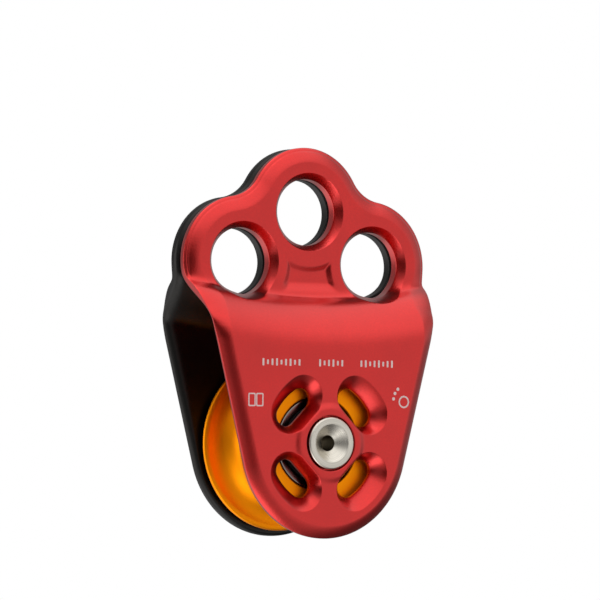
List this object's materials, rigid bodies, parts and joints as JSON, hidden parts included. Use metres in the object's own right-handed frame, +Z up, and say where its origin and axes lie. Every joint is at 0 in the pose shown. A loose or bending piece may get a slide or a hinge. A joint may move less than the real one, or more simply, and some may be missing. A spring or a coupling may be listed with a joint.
{
  "type": "rope pulley",
  "caption": "Arborist rope pulley: grooved sheave on ball bearings between two stepped cheeks, one of which swings open, with attachment holes above.",
  "frame": {"origin": "centre of the top attachment hole, on the plane where the two cheeks meet", "axes": "+Z up from the axle to the top attachment hole, +Y along the holes and the axle from the front cheek to the rear cheek, +X to the right seen from the front"},
  "size_m": [0.0664, 0.0312, 0.0926],
  "materials": {
    "front_cheek": "forged aluminium alloy, bead-blasted and red anodised, satin",
    "rear_cheek": "forged aluminium alloy, bead-blasted and black anodised, satin",
    "sheave": "turned aluminium alloy, orange anodised, satin",
    "axle": "turned stainless steel with fine tool marks",
    "bearing_steel": "ground and polished bearing steel",
    "cage": "moulded nylon",
    "seal": "moulded nitrile rubber",
    "washer": "moulded acetal"
  },
  "bodies": {
    "rear_cheek_body": {"rear_cheek": "rear_cheek", "axle": "axle", "bearing_spacer": "bearing_steel", "front_bearing_inner_race": "bearing_steel", "front_thrust_washer": "washer", "rear_bearing_inner_race": "bearing_steel", "rear_thrust_washer": "washer"},
    "sheave_body": {"front_bearing_inner_seal": "seal", "front_bearing_outer_race": "bearing_steel", "front_bearing_outer_seal": "seal", "rear_bearing_inner_seal": "seal", "rear_bearing_outer_race": "bearing_steel", "rear_bearing_outer_seal": "seal", "sheave": "sheave"},
    "front_ball_set": {"front_bearing_ball_1": "bearing_steel", "front_bearing_ball_2": "bearing_steel", "front_bearing_ball_3": "bearing_steel", "front_bearing_ball_4": "bearing_steel", "front_bearing_ball_5": "bearing_steel", "front_bearing_ball_6": "bearing_steel", "front_bearing_ball_7": "bearing_steel", "front_bearing_ball_8": "bearing_steel", "front_bearing_ball_9": "bearing_steel", "front_bearing_cage": "cage"},
    "rear_ball_set": {"rear_bearing_ball_1": "bearing_steel", "rear_bearing_ball_2": "bearing_steel", "rear_bearing_ball_3": "bearing_steel", "rear_bearing_ball_4": "bearing_steel", "rear_bearing_ball_5": "bearing_steel", "rear_bearing_ball_6": "bearing_steel", "rear_bearing_ball_7": "bearing_steel", "rear_bearing_ball_8": "bearing_steel", "rear_bearing_ball_9": "bearing_steel", "rear_bearing_cage": "cage"},
    "front_cheek_body": {"front_cheek": "front_cheek"}
  },
  "joints": [
    {"name": "sheave_spin", "type": "hinge", "parent": "rear_cheek_body", "child": "sheave_body", "pos_m": [0, 0, -0.0548], "axis": [0, 1, 0], "continuous": true},
    {"name": "front_cage_spin", "type": "hinge", "parent": "rear_cheek_body", "child": "front_ball_set", "pos_m": [0, -0.0056, -0.0548], "axis": [0, 1, 0], "continuous": true},
    {"name": "rear_cage_spin", "type": "hinge", "parent": "rear_cheek_body", "child": "rear_ball_set", "pos_m": [0, 0.0056, -0.0548], "axis": [0, 1, 0], "continuous": true},
    {"name": "front_cheek_swing", "type": "hinge", "parent": "rear_cheek_body", "child": "front_cheek_body", "pos_m": [0, 0, -0.0548], "axis": [0, 1, 0], "continuous": true}
  ],
  "couplings": [
    {"joint": "front_cage_spin", "follows": "sheave_spin", "ratio": 0.5992},
    {"joint": "rear_cage_spin", "follows": "sheave_spin", "ratio": 0.5992}
  ]
}
